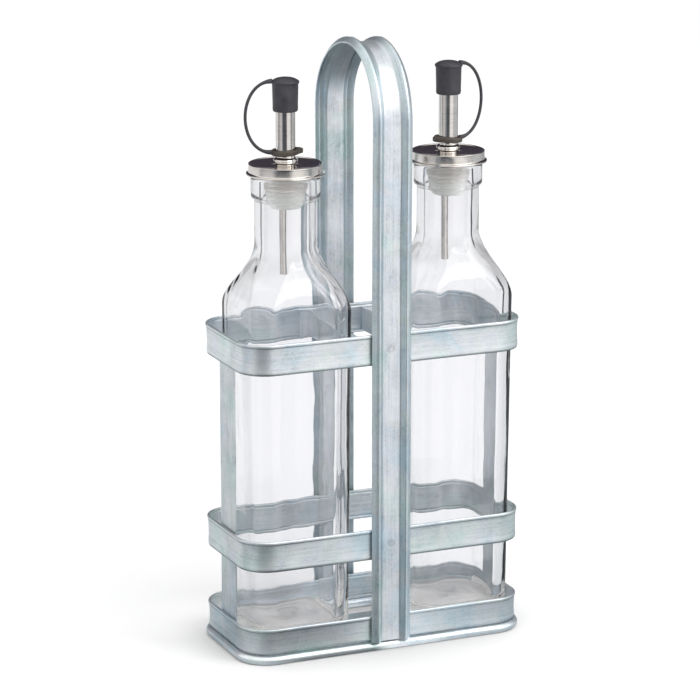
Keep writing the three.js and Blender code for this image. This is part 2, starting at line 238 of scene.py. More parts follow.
def grid(name, rings, run_closed=False, capped=False, sharp=180):
    """A mesh through rings of points, with a UV map in metres: along the run, across the ring.
    Edges that bend by more than the sharp angle, in degrees, stay sharp."""
    run = len(rings)
    size = len(rings[0])
    points = [point for ring in rings for point in ring]
    along = distances_round([ring[0] for ring in rings])
    across = distances_round(rings[0])
    faces = []
    corners = []
    for i in range(run if run_closed else run - 1):
        for j in range(size):
            steps = ((i, j), (i, j + 1), (i + 1, j + 1), (i + 1, j))
            faces.append([(a % run) * size + b % size for a, b in steps])
            corners += [(along[a], across[b]) for a, b in steps]
    if capped:
        for i, order in ((0, 1), (run - 1, -1)):
            members = list(range(size))[::order]
            faces.append([i * size + j for j in members])
            corners += [(along[i], across[j]) for j in members]
    mesh = bpy.data.meshes.new(name)
    mesh.from_pydata(points, [], faces)
    layer = mesh.uv_layers.new(name="run")
    for index, corner in enumerate(corners):
        layer.data[index].uv = corner
    mesh.validate()
    mesh.shade_smooth()
    face_outwards(mesh)
    if sharp < 180:
        mesh.set_sharp_from_angle(angle=math.radians(sharp))
    return in_scene(name, mesh)


def face_outwards(mesh):
    """Turns every face so that the closed surface's normals point out of the solid."""
    volume = 0.0
    for face in mesh.polygons:
        corners = [mesh.vertices[index].co for index in face.vertices]
        for second, third in zip(corners[1:], corners[2:]):
            volume += corners[0].dot(second.cross(third))
    if volume < 0:
        mesh.flip_normals()


def turned(name, centre, profile, segments=72, closed=False):
    """A turned solid about a vertical axis: the profile is a list of (radius, height)."""
    rings = []
    for radius, height in profile:
        middle = Vector((centre.x, centre.y, height))
        reach = max(radius, 0.01 * MM)
        rings.append([middle + level_way(angle) * reach for angle in angles(segments)])
    return grid(name, rings, run_closed=closed, capped=not closed, sharp=32)


def finished(made, body, material, node):
    """Gives a piece its material and its CAD body, and hides the CAD node that it stands for."""
    made.data.materials.append(material)
    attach(made, body)
    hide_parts(node)


def zinc_piece(made, material, node):
    finished(made, "carrier", material, node)


# ---- material helpers ----

def new_material(name):
    """An empty material, its node tree and the position on the object that wears it."""
    material = bpy.data.materials.new(name)
    material.use_nodes = True
    tree = material.node_tree
    tree.nodes.clear()
    return material, tree, add_node(tree, "TexCoord").outputs["Object"]


def add_node(tree, kind, inputs=None, **properties):
    """Adds a node. An input given as a node or a socket is linked, and a plain value is set."""
    made = tree.nodes.new("ShaderNode" + kind)
    for key, value in properties.items():
        setattr(made, key, value)
    for key, value in (inputs or {}).items():
        if isinstance(value, bpy.types.Node):
            value = value.outputs[0]
        if isinstance(value, bpy.types.NodeSocket):
            tree.links.new(value, made.inputs[key])
        else:
            made.inputs[key].default_value = value
    return made


def run_uv(tree):
    """Where a point is on its sheet, in metres: X along the run and Y across it."""
    return add_node(tree, "UVMap", uv_map="run").outputs["UV"]


def stretched_uv(tree, along, across):
    inputs = {"Vector": run_uv(tree), "Scale": (along, across, 1)}
    return add_node(tree, "Mapping", inputs).outputs["Vector"]


def component(tree, vector, axis):
    """The X, Y or Z of a vector."""
    return add_node(tree, "SeparateXYZ", {0: vector}).outputs[axis]


def facing_up(tree):
    """How far the surface faces up: 1 where it is level, and -1 underneath."""
    return component(tree, add_node(tree, "NewGeometry").outputs["Normal"], "Z")


def noise_value(tree, vector, scale, detail=4, roughness=0.55, distortion=0.0):
    inputs = {"Vector": vector, "Scale": scale, "Detail": detail, "Roughness": roughness,
              "Distortion": distortion}
    return add_node(tree, "TexNoise", inputs)


def math_value(tree, operation, *values):
    return add_node(tree, "Math", dict(enumerate(values)), operation=operation)


def length_of(tree, vector):
    return add_node(tree, "VectorMath", {0: vector}, operation="LENGTH").outputs["Value"]


def weighed(tree, parts):
    """The sum of some values, each times its weight: [(value, weight)]."""
    total = 0.0
    for value, weight in parts:
        total = math_value(tree, "MULTIPLY_ADD", value, weight, total)
    return total


def multiplied(tree, first, *others):
    """Colours or vectors, multiplied part by part."""
    for other in others:
        first = add_node(tree, "VectorMath", {0: first, 1: other}, operation="MULTIPLY")
    return first


def mapped(tree, value, low, high, to_low=0.0, to_high=1.0):
    inputs = {"Value": value, 1: low, 2: high, 3: to_low, 4: to_high}
    return add_node(tree, "MapRange", inputs)


def colour_ramp(tree, value, stops):
    made = add_node(tree, "ValToRGB", {"Fac": value})
    elements = made.color_ramp.elements
    while len(elements) < len(stops):
        elements.new(0.5)
    for element, (place, colour) in zip(elements, stops):
        element.position = place
        element.color = (*colour, 1)
    return made.outputs["Color"]


def bump(tree, height, distance, strength, normal=None):
    inputs = {"Height": height, "Distance": distance, "Strength": strength}
    if normal is not None:
        inputs["Normal"] = normal
    return add_node(tree, "Bump", inputs).outputs["Normal"]


def mixed_shader(tree, share, first, second):
    """The first shader where the share is 0, and the second where it is 1."""
    return add_node(tree, "MixShader", {0: share, 1: first, 2: second})


def output(tree, shader):
    add_node(tree, "OutputMaterial", {"Surface": shader})


def principled(tree, inputs):
    """Ends a material in one principled shader."""
    output(tree, add_node(tree, "BsdfPrincipled", inputs))


# ---- materials ----

def scorched_ring(tree, place, speckle, height):
    """A tint that is white everywhere but in a faint brown ring on the middle line at a height."""
    moved = add_node(tree, "VectorMath", {0: place, 1: (0, 0, -height)}, operation="ADD")
    away = length_of(tree, multiplied(tree, moved, (1, 0, 1)))
    uneven = weighed(tree, [(away, 1.0), (speckle, 3.0 * WELD_RADIUS)])
    return colour_ramp(tree, mapped(tree, uneven, WELD_RADIUS, 3 * WELD_RADIUS), [
        (0.30, (0.96, 0.95, 0.95)),
        (0.50, (0.77, 0.74, 0.735)),
        (0.66, (0.92, 0.905, 0.90)),
        (0.85, WHITE),
    ])


def bend_tint_and_shade(tree, place):
    """Tint across the beaded strap: the web is a little lilac, the beads are blue-green, and painted
    shade darkens the bends between them."""
    away = math_value(tree, "ABSOLUTE", component(tree, place, "X"))
    return colour_ramp(tree, mapped(tree, away, 0.0, STRAP_HALF_WIDTH), [
        (0.38, (1.0, 0.98, 1.0)),
        (0.47, (0.80, 0.85, 0.87)),
        (0.62, (0.82, 0.87, 0.89)),
        (0.71, (0.92, 0.965, 0.985)),
        (1.0, (0.93, 0.975, 0.99)),
    ])


def painted_underside_shade(tree):
    """A tint that paints shade on whatever faces down, such as the bands' lower edges."""
    share = mapped(tree, facing_up(tree), -0.5, -0.12)
    return colour_ramp(tree, share, [(0.0, (0.50, 0.53, 0.54)), (1.0, WHITE)])


def hem_shadow(tree):
    """A tint that paints a dark shadow line along a band's lower edge, where its sheet is rolled
    under.
    """
    across = component(tree, run_uv(tree), "Y")
    share = mapped(tree, across, 0.75 * MM, 1.25 * MM)
    return colour_ramp(tree, share, [(0.0, (0.42, 0.45, 0.46)), (1.0, WHITE)])


def galvanised_steel(name, shade=1.0, welds=(), underside_shade=True, painted_hem_shadow=False):
    """Zinc-coated sheet: fine streaks that follow the strip, over blotches of dull blue, green
    and lilac oxide and a few pale brown stains. Spot welds leave a scorched ring. Painted shade
    darkens whatever faces down, the bands' rolled lower edges and the strap's bends, and the
    shade argument scales the greys to paint lighter or darker copies."""
    material, tree, place = new_material(name)
    clouds = noise_value(tree, place, 55, detail=6, roughness=0.66, distortion=0.5)
    cool = noise_value(tree, place, 34, roughness=0.6, distortion=0.3)
    warm = noise_value(tree, place, 85, detail=5, roughness=0.65, distortion=0.6)
    streaks = noise_value(tree, stretched_uv(tree, 26, 800), 1, detail=5, roughness=0.66)
    hairs = noise_value(tree, stretched_uv(tree, 160, 4000), 1, detail=3)
    grain = noise_value(tree, place, 800, roughness=0.65)
    tone = weighed(tree, [(clouds, 0.36), (streaks, 0.32), (hairs, 0.13), (grain, 0.19)])
    greys = [
        (0.37, (0.42, 0.49, 0.515)),
        (0.46, (0.67, 0.735, 0.755)),
        (0.54, (0.80, 0.845, 0.86)),
        (0.64, (0.91, 0.93, 0.94)),
    ]
    grey = colour_ramp(tree, tone, [(at, [part * shade for part in tint]) for at, tint in greys])
    hue = colour_ramp(tree, cool, [
        (0.36, (0.90, 0.985, 0.955)),
        (0.46, (0.995, 1.0, 0.985)),
        (0.54, (0.98, 0.97, 1.0)),
        (0.66, (0.86, 0.94, 1.0)),
    ])
    tints = [hue, colour_ramp(tree, warm, [(0.54, WHITE), (0.70, (0.965, 0.935, 0.90))])]
    # painted shade: whatever faces down is darkened
    if underside_shade:
        tints.append(painted_underside_shade(tree))
    # painted shadow line along the bands' rolled lower edges
    if painted_hem_shadow:
        tints.append(hem_shadow(tree))
    # lilac and blue-green tint across the strap, with painted shade in its bends
    if welds:
        tints.append(bend_tint_and_shade(tree, place))
    tints += [scorched_ring(tree, place, warm, height) for height in welds]
    relief = weighed(tree, [(streaks, 0.45), (hairs, 0.35), (grain, 0.4)])
    broad = bump(tree, clouds, 0.5 * MM, 0.22)
    principled(tree, {
        "Base Color": multiplied(tree, grey, *tints),
        "Metallic": 0.84,
        "Roughness": mapped(tree, tone, 0.36, 0.66, 0.46, 0.30),
        "Normal": bump(tree, relief, 0.03 * MM, 0.7, broad),
    })
    return material


def polished_steel(name, dullness=1.0):
    """Stainless steel with faint polishing lines round it and a few dull smears. Level faces are
    smoother than upright ones."""
    material, tree, place = new_material(name)
    lines = noise_value(tree, stretched_uv(tree, 4200, 30), 1, detail=3)
    smears = noise_value(tree, place, 120, distortion=0.6)
    blend = weighed(tree, [(lines, 0.5), (smears, 0.5)])
    brushed = mapped(tree, facing_up(tree), 0.5, 0.95, 1.0, 0.4)
    worn = mapped(tree, smears, 0.3, 0.75, 0.17 * dullness, 0.28 * dullness)
    principled(tree, {
        "Base Color": colour_ramp(tree, blend, [
            (0.30, (0.61, 0.575, 0.54)),
            (0.70, (0.89, 0.845, 0.80)),
        ]),
        "Metallic": 1.0,
        "Roughness": math_value(tree, "MULTIPLY", worn, brushed),
        "Normal": bump(tree, lines, 0.012 * MM, 0.5),
    })
    return material


def clear_glass(name, stippled=False):
    """Thick pressed glass with painted dark edges: its colour darkens where it is seen edge-on, in
    place of dark surroundings seen through it. Lamps and soft light pass straight through it. The
    stippled kind is the rough ring that a bottle stands on."""
    material, tree, place = new_material(name)
    swirls = noise_value(tree, place, 32, detail=2, distortion=0.4)
    pits = noise_value(tree, place, 900 if stippled else 240, detail=2)
    broad = bump(tree, swirls, 1.4 * MM, 0.25)
    # painted shade: the glass's colour darkens towards its edges
    facing = add_node(tree, "LayerWeight", {"Blend": 0.5}).outputs["Facing"]
    glass = add_node(tree, "BsdfPrincipled", {
        "Base Color": colour_ramp(tree, facing, [
            (0.0, (0.93, 0.93, 0.945)),
            (0.86, (0.93, 0.935, 0.94)),
            (0.96, (0.70, 0.72, 0.74)),
            (1.0, (0.46, 0.48, 0.51)),
        ]),
        "Roughness": 0.28 if stippled else 0.0,
        "IOR": 1.5,
        "Transmission Weight": 1.0,
        "Normal": bump(tree, pits, 0.05 * MM, 0.8 if stippled else 0.22, broad),
    })
    if stippled:
        frost = add_node(tree, "BsdfDiffuse", {"Color": (0.97, 0.955, 0.92, 1)})
        glass = mixed_shader(tree, 0.92, glass, frost)
    clear = add_node(tree, "BsdfTransparent", {"Color": (0.985, 0.985, 0.99, 1)})
    path = add_node(tree, "LightPath").outputs
    soft = math_value(tree, "MAXIMUM", path["Is Shadow Ray"], path["Is Diffuse Ray"])
    body = add_node(tree, "VolumeAbsorption", {
        "Color": (0.12, 0.16, 0.20, 1),
        "Density": 3.5,
    })
    add_node(tree, "OutputMaterial", {
        "Surface": mixed_shader(tree, soft, glass, clear),
        "Volume": body,
    })
    return material


def soft_plastic(name):
    """Milky moulded plastic with a faint grain, browner towards the top of a stopper."""
    material, tree, place = new_material(name)
    clouds = noise_value(tree, place, 90)
    grain = noise_value(tree, place, 1800, detail=2)
    low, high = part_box("left_stopper")
    ageing = mapped(tree, component(tree, place, "Z"), low.z + 6 * MM, high.z - 5 * MM)
    tone = weighed(tree, [(ageing, 0.7), (clouds, 0.6)])
    principled(tree, {
        "Base Color": colour_ramp(tree, tone, [
            (0.25, (0.76, 0.78, 0.74)),
            (0.55, (0.70, 0.69, 0.65)),
            (1.0, (0.63, 0.60, 0.555)),
        ]),
        "Roughness": mapped(tree, clouds, 0.3, 0.7, 0.38, 0.55),
        "Transmission Weight": 0.35,
        "Subsurface Weight": 0.4,
        "Subsurface Radius": (3 * MM, 3 * MM, 2.6 * MM),
        "Subsurface Scale": 1.0,
        "Normal": bump(tree, grain, 0.02 * MM, 0.5),
    })
    return material


def black_rubber(name, warmth=0.0):
    """Satin black rubber with mould bloom, and browner where it has aged."""
    material, tree, place = new_material(name)
    bloom = noise_value(tree, place, 150, detail=5, roughness=0.65)
    grain = noise_value(tree, place, 2600, detail=2)
    principled(tree, {
        "Base Color": colour_ramp(tree, bloom, [
            (0.3, (0.026 + 0.022 * warmth, 0.025 + 0.014 * warmth, 0.031)),
            (0.75, (0.054 + 0.040 * warmth, 0.052 + 0.024 * warmth, 0.062)),
        ]),
        "Roughness": mapped(tree, bloom, 0.3, 0.75, 0.42, 0.58),
        "Normal": bump(tree, grain, 0.03 * MM, 0.6),
    })
    return material


# ---- carrier ----

STRAP_HALF_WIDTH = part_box("handle_strap")[1].x
BAND_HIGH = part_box("top_band")[1]
HALF_LENGTH = BAND_HIGH.x - HEM_PROUD
HALF_WIDTH = BAND_HIGH.y - HEM_PROUD
CORNER = 15 * MM


def carrier_track(straight_step=3 * MM, corner_steps=14):
    """Points round the carrier's outer face, from the middle of the back: [(point, outward)]."""
    track = [(Vector((0, HALF_WIDTH, 0)), Vector((0, 1, 0)))]
    signs = ((-1, 1), (-1, -1), (1, -1), (1, 1))
    for index, (sign_x, sign_y) in enumerate(signs):
        centre = Vector((sign_x * (HALF_LENGTH - CORNER), sign_y * (HALF_WIDTH - CORNER), 0))
        for angle in between(QUARTER * (index + 1), QUARTER * (index + 2), corner_steps):
            outward = level_way(angle)
            track.append((centre + outward * CORNER, outward))
    filled = []
    for index, (point, outward) in enumerate(track):
        nearby, turned_to = track[(index + 1) % len(track)]
        straight = outward.dot(turned_to) > 0.9999
        steps = max(1, round((nearby - point).length / straight_step)) if straight else 1
        for share in between(0, 1, steps)[:-1]:
            filled.append((point.lerp(nearby, share), outward))
    return filled


def swept_hoop(name, section, wobble):
    """Sweeps a closed (outward, height) outline round the carrier."""
    rings = []
    for point, outward in carrier_track():
        ring = []
        for out, height in section:
            place = point + Vector((0, 0, height))
            sway = wobble * ripple(place, 22 * MM) + wobble * 0.4 * ripple(place, 7 * MM, 3)
            ring.append(place + outward * (out + sway))
        rings.append(ring)
    return grid(name, rings, run_closed=True, sharp=50)


def band(node, material):
    """A hoop of sheet, hemmed along its top and rolled under along its lower edge. The bottom one
    tucks in behind the rolled foot."""
    low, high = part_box(node)
    bottom, top = low.z, high.z
    fade = HEM_HEIGHT + 0.5 * MM
    tuck = 0.75 * MM if node == "bottom_band" else 0.25 * MM
    inside = -SHEET - HEM_INSIDE
    groove = -SHEET + 0.3 * MM
    wall = [
        (-BAND_HOLLOW * math.sin(math.pi * share) ** 0.6, lerp(bottom + fade, top - fade, share))
        for share in between(0.06, 0.94, 8)
    ]
    hem = [
        (inside, 0, 0.5 * MM),
        (inside, HEM_HEIGHT, 0.3 * MM),
        (groove, HEM_HEIGHT + 0.1 * MM, 0.1 * MM),
        (-SHEET, fade + 0.4 * MM, 0.2 * MM),
    ]
    section = rounded([
        (-tuck, bottom, 0.3 * MM),
        (-0.6 * tuck, bottom + 0.5 * HEM_HEIGHT, 0.4 * MM),
        (0, bottom + HEM_HEIGHT, 0.8 * MM),
        *wall,
        (0, top - fade, 0.3 * MM),
        (HEM_PROUD, top - HEM_HEIGHT, 0.5 * MM),
        (HEM_PROUD, top, 0.6 * MM),
        *[(out, top - up, radius) for out, up, radius in hem],
        *[(out, bottom + up, radius) for out, up, radius in hem[::-1]],
    ])
    made = swept_hoop(node + "_sheet", section, DENT)
    zinc_piece(made, material, node)


def base_rim(material):
    """The round rolled foot."""
    low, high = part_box("base_rim")
    radius = (high.z - low.z) / 2
    centre_out = high.y - radius - HALF_WIDTH
    section = [
        (centre_out + radius * math.cos(angle), radius * (1 + math.sin(angle)))
        for angle in angles(20)
    ]
    made = swept_hoop("base_rim_roll", section, RIM_DENT)
    zinc_piece(made, material, "base_rim")


def strap_rise(across, over_arch):
    """How far the strap stands out from its inner plane, across its width. over_arch is 0 on the
    legs and 1 at the top."""
    crest = BEAD_AT + ARCH_SPREAD * over_arch
    from_crest = abs(across) - crest
    if from_crest < 0:
        share = min(1.0, -from_crest / (BEAD_INSIDE + ARCH_OPENING * over_arch))
        wave = 0.5 * (1 + math.cos(math.pi * share))
        return lerp(ARCH_WEB_RISE * over_arch, BEAD_HEIGHT, wave)
    share = from_crest / (STRAP_HALF_WIDTH - crest)
    fall = (1 - math.cos(EDGE_BEND * share)) / (1 - math.cos(EDGE_BEND))
    return lerp(BEAD_HEIGHT, EDGE_RISE, fall)


def strap_section(over_arch):
    """Outline of the beaded strap as (outward, across)."""
    stations = between(-STRAP_HALF_WIDTH, STRAP_HALF_WIDTH, 52)
    inner = [(strap_rise(across, over_arch), across) for across in stations]
    outer = [(rise + SHEET, across) for rise, across in inner]
    return inner + outer[::-1]


def handle_path(leg_steps=210, arch_steps=72):
    """Points up the front, over the arch and down the back, as [(point, outward)], and the height
    where the arch starts."""
    low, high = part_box("handle_strap")
    crest = (high.y - low.y) / 2
    radius = crest - BEAD_HEIGHT - SHEET
    spring = high.z - crest
    path = []
    for z in between(low.z, spring, leg_steps)[:-1]:
        path.append((Vector((0, -radius, z)), Vector((0, -1, 0))))
    for angle in between(0, math.pi, arch_steps):
        outward = Vector((0, -math.cos(angle), math.sin(angle)))
        path.append((Vector((0, 0, spring)) + outward * radius, outward))
    for z in between(spring, low.z, leg_steps)[1:]:
        path.append((Vector((0, radius, z)), Vector((0, 1, 0))))
    return path, spring


def weld_dimple(across, height, welds):
    """Depth of the spot-weld dimples where the strap crosses the bands."""
    aways = [math.hypot(across, height - weld_height) / WELD_RADIUS for weld_height in welds]
    return sum(WELD_DEPTH * math.exp(-away ** 4) for away in aways if away < 2)


def weld_heights():
    """Where the strap is welded to the two upper bands."""
    return [sum(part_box(node), Vector()).z / 2 for node in ("top_band", "middle_band")]


def handle_strap(material):
    """The beaded strap, with its hand-bent arch."""
    path, spring = handle_path()
    welds = weld_heights()
    rings = []
    for point, outward in path:
        ring = []
        over_arch = max(0.0, outward.z)
        lean = Vector((0, -ARCH_LEAN * over_arch ** 2, 0))
        bow = 0.0
        if point.y < 0:
            bow = HANDLE_BOW * math.exp(-((point.z - spring) / BOW_REACH) ** 2)
        for out, across in strap_section(over_arch):
            place = point + Vector((across, 0, 0))
            sway = HANDLE_DENT * ripple(place, 26 * MM, 5)
            sway += HANDLE_FINE_DENT * ripple(place, 8 * MM, 9)
            dimple = weld_dimple(across, place.z, welds)
            twist = -ARCH_TWIST * across * over_arch
            ring.append(place + lean + outward * (out + sway + bow + twist - dimple))
        rings.append(ring)
    made = grid("handle_strap_sheet", rings, capped=True, sharp=60)
    zinc_piece(made, material, "handle_strap")


def cradle_strap(material):
    """The flat strip that runs down one end, under the bottles and up the other end."""
    low, high, centre = box_of("cradle_strap")
    outline = rounded([
        (low.x, high.z),
        (low.x, low.z, CRADLE_BEND),
        (high.x, low.z, CRADLE_BEND),
        (high.x, high.z),
    ], closed=False, steps=8)
    track = [*filled_in(outline, 4 * MM), outline[-1]]
    half = (high.y - low.y) / 2
    outer = [(half * share, -CRADLE_CROWN * share ** 2) for share in between(-1, 1, 14)]
    section = outer + [(side, out - CRADLE_SHEET) for side, out in outer[::-1]]
    last = len(track) - 1
    rings = []
    for index, (x, z) in enumerate(track):
        run = (track[min(last, index + 1)] - track[max(0, index - 1)]).normalized()
        outward = Vector((run.y, 0, -run.x))
        ring = []
        for side, out in section:
            place = Vector((x, centre.y + side, z)) + outward * out
            sway = CRADLE_DENT * (ripple(place, 18 * MM, 12) - 1)
            ring.append(place + outward * sway)
        rings.append(ring)
    made = grid("cradle_strap_strip", rings, capped=True, sharp=50)
    zinc_piece(made, material, "cradle_strap")


def divider(side, material):
    """A divider: a straight web with a tab bent along the band at each end."""
    node = side + "_divider"
    low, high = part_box(node)
    near, tab = (low.x, high.x) if side == "right" else (high.x, low.x)
    far = near + math.copysign(SHEET, tab - near)
    bend = 0.9 * MM
    edge = 0.2 * MM
    outline = rounded([
        (near, low.y, bend),
        (tab, low.y, edge),
        (tab, low.y + SHEET, edge),
        (far, low.y + SHEET, bend),
        (far, high.y - SHEET, bend),
        (tab, high.y - SHEET, edge),
        (tab, high.y, edge),
        (near, high.y, bend),
    ])
    dense = filled_in([*outline, outline[0]], 3 * MM)
    middle = sum(dense, Vector((0, 0))) / len(dense)
    heights = between(low.z + 1 * MM, high.z - 1 * MM, 5)
    heights = [low.z, low.z + edge, *heights, high.z - edge, high.z]
    rings = []
    for height in heights:
        trim = 0.996 if height in (low.z, high.z) else 1.0
        ring = []
        for point in dense:
            x, y = middle.lerp(point, trim)
            sway = DIVIDER_DENT * ripple(Vector((0, point.y, height)), 15 * MM, 20)
            ring.append(Vector((x + sway, y, height)))
        rings.append(ring)
    made = grid(node + "_sheet", rings, capped=True, sharp=40)
    zinc_piece(made, material, node)


# ---- bottles ----

def square_reach(half_width, corner, angle):
    """Distance from the middle of a rounded square to its edge, in a given direction."""
    turn = angle % QUARTER
    folded = min(turn, QUARTER - turn)
    centre = half_width - corner
    if half_width * math.tan(folded) <= centre:
        return half_width / math.cos(folded)
    along = centre * (math.cos(folded) + math.sin(folded))
    inside = corner ** 2 - centre ** 2 * (1 - math.sin(2 * folded))
    return along + math.sqrt(max(inside, 0.0))


def body_half_width(up):
    """Half the outer width of a bottle at a height above its foot."""
    body = lerp(FOOT_HALF, BODY_HALF, min(1.0, up / SHOULDER_UP))
    return lerp(body, NECK_RADIUS, smoothstep(up, SHOULDER_UP, NECK_UP))


def bottle_outer_profile(height):
    """(half width, height) from the middle of the foot, up the outside and down into the lip."""
    heel = 2.2 * MM
    profile = rounded([
        (0, PUNT_RISE),
        (FOOT_HALF - 9 * MM, PUNT_RISE * 0.8, 3 * MM),
        (FOOT_HALF - 4.5 * MM, 0, 2 * MM),
        (FOOT_HALF - 0.2 * heel, 0, heel),
        (body_half_width(heel * 1.6), heel * 1.6),
    ], closed=False)
    heights = between(8 * MM, SHOULDER_UP, 24) + between(SHOULDER_UP, NECK_UP, 22)[1:]
    profile += [(body_half_width(up), up) for up in heights]
    return profile + rounded([
        (NECK_RADIUS, NECK_UP + 2 * MM),
        (NECK_RADIUS, LIP_UP - 1.2 * MM, 1.0 * MM),
        (LIP_RADIUS, LIP_UP - 0.2 * MM, 1.0 * MM),
        (LIP_RADIUS, height, 1.6 * MM),
        (BORE_RADIUS, height, 1.4 * MM),
        (BORE_RADIUS, LIP_UP),
    ], closed=False, steps=6)


def bottle_inner_profile():
    """(half width, height) down the inside, from the neck to the middle of the floor."""
    profile = []
    for up in between(NECK_UP, SHOULDER_UP, 22):
        to_bore = smoothstep(up, NECK_UP - 18 * MM, NECK_UP)
        profile.append((lerp(body_half_width(up) - WALL, BORE_RADIUS, to_bore), up))
    profile += [(body_half_width(up) - WALL, up) for up in between(SHOULDER_UP, 16 * MM, 24)[1:]]
    inner_half = body_half_width(GLASS_FLOOR) - WALL
    return profile + rounded([
        (inner_half, 15 * MM),
        (inner_half, GLASS_FLOOR, 5.5 * MM),
        (0, GLASS_FLOOR + 0.6 * MM),
    ], closed=False, steps=7)[1:]


def bottle(side, material, stippled):
    """A square glass bottle, round from the neck up, with waves in its walls."""
    node = side + "_bottle"
    low, high, centre = box_of(node)
    outer = bottle_outer_profile(high.z - low.z)
    seed = 1.0 if side == "left" else 7.0
    rings = []
    for index, (half, up) in enumerate(outer + bottle_inner_profile()):
        closing = smoothstep(up, SHOULDER_UP, NECK_UP)
        corner = min(lerp(BODY_CORNER, half, closing), half)
        wave = OUTER_WAVE if index < len(outer) else GLASS_WAVE
        wave *= 1 - 0.7 * closing
        ring = []
        for angle in angles(144):
            reach = max(square_reach(half, corner, angle), 0.02 * MM)
            way = level_way(angle)
            place = Vector((centre.x, centre.y, low.z + up)) + way * reach
            steady = wave * min(1.0, reach / (12 * MM))
            sway = ripple(place, 24 * MM, seed) + 0.5 * ripple(place, 9 * MM, seed + 4)
            ring.append(place + way * (steady * sway))
        rings.append(ring)
    made = grid(node + "_glass", rings, capped=True)
    finished(made, side + "_bottle", material, node)
    made.data.materials.append(stippled)
    for face in made.data.polygons:
        if face.center.z < low.z + PUNT_RISE * 1.2 and face.normal.z < -0.5:
            face.material_index = 1


# ---- pourers ----

def stopper(side, material):
    """Soft stopper: a stepped flange that fills the neck, then a ribbed, tapering plug."""
    node = side + "_stopper"
    low, high, centre = box_of(node)
    flange = half_length(node)
    step_z = high.z - FLANGE_HEIGHT
    profile = [
        (STOPPER_MOUTH, low.z + 3 * MM),
        (STOPPER_MOUTH, low.z, 0.3 * MM),
        (PLUG_TIP, low.z, 1.2 * MM),
        (PLUG_TIP + 0.9 * MM, low.z + 2.4 * MM, 0.4 * MM),
        (PLUG_LOW - 0.3 * MM, low.z + 3.0 * MM, 0.4 * MM),
    ]
    for index in range(PLUG_RIBS):
        share = (index + 0.5) / PLUG_RIBS
        z = lerp(low.z + 3.2 * MM, step_z, share)
        reach = lerp(PLUG_LOW, PLUG_HIGH, share)
        profile += [
            (reach - 0.3 * MM, z - 0.7 * MM, 0.3 * MM),
            (reach, z, 0.4 * MM),
            (reach - 0.2 * MM, z + 0.7 * MM, 0.3 * MM),
        ]
    profile += [
        (PLUG_HIGH, step_z, 0.3 * MM),
        (flange - 0.3 * MM, step_z + 0.6 * MM, 0.5 * MM),
        (flange - 0.3 * MM, step_z + 2.6 * MM, 0.4 * MM),
        (flange, step_z + 3.2 * MM, 0.4 * MM),
        (flange, high.z, 0.3 * MM),
        (POURER_HOLE, high.z),
    ]
    made = turned(node + "_moulding", centre, rounded(profile, closed=False))
    finished(made, side + "_pourer", material, node)


def crown(side, material):
    """Pressed crown: a skirt with a foot flange, a bright rim and a shallow dish round the spout."""
    node = side + "_pourer_crown"
    low, high, centre = box_of(node)
    flange = half_length(node)
    wall = flange - CROWN_LEDGE
    dish = high.z - DISH_DEPTH
    profile = rounded([
        (POURER_HOLE, low.z),
        (flange, low.z, 0.35 * MM),
        (flange, low.z + 0.9 * MM, 0.35 * MM),
        (wall + 0.15 * MM, low.z + 1.3 * MM, 0.3 * MM),
        (wall, high.z - 0.9 * MM, 0.3 * MM),
        (wall + 0.25 * MM, high.z, 0.6 * MM),
        (wall - 0.6 * MM, high.z, 0.3 * MM),
        (wall - 1.0 * MM, high.z - 0.4 * MM, 0.3 * MM),
        (POURER_HOLE + 3.0 * MM, dish, 1.0 * MM),
        (POURER_HOLE + 0.5 * MM, dish + 0.3 * MM, 0.3 * MM),
        (POURER_HOLE, dish + 0.3 * MM, 0.1 * MM),
    ], steps=5)
    made = turned(node + "_pressing", centre, profile, segments=112, closed=True)
    finished(made, side + "_pourer", material, node)


def spout(side, material):
    """Spout tube with a swaged collar just above the crown."""
    node = side + "_spout_tube"
    low, high, centre = box_of(node)
    collar_radius = half_length(node)
    collar = low.z + COLLAR_UP
    profile = rounded([
        (SPOUT_BORE, low.z),
        (SPOUT_RADIUS, low.z),
        (SPOUT_RADIUS, collar - 1.0 * MM, 0.4 * MM),
        (collar_radius, collar - 0.1 * MM, 0.5 * MM),
        (collar_radius, collar + 1.2 * MM, 0.6 * MM),
        (SPOUT_RADIUS, collar + 2.4 * MM, 0.5 * MM),
        (SPOUT_RADIUS, high.z, 0.3 * MM),
        (SPOUT_BORE, high.z, 0.3 * MM),
    ], steps=5)
    made = turned(node + "_tube", centre, profile, segments=64, closed=True)
    finished(made, side + "_pourer", material, node)


def breather(side, material):
    """The thin tube that lets air in as the oil runs out."""
    node = side + "_breather_tube"
    low, high, centre = box_of(node)
    radius = half_length(node)
    bore = radius - BREATHER_WALL
    profile = rounded([
        (bore, low.z, 0.1 * MM),
        (radius, low.z, 0.2 * MM),
        (radius, high.z),
        (bore, high.z),
    ])
    made = turned(node + "_tube", centre, profile, segments=32, closed=True)
    finished(made, side + "_pourer", material, node)


# ---- rubber closure ----

def tether_way(side):
    """Level direction from the spout's axis to the middle of the tether."""
    way = box_of(side + "_tether")[2] - box_of(side + "_tether_ring")[2]
    return Vector((way.x, way.y, 0)).normalized()


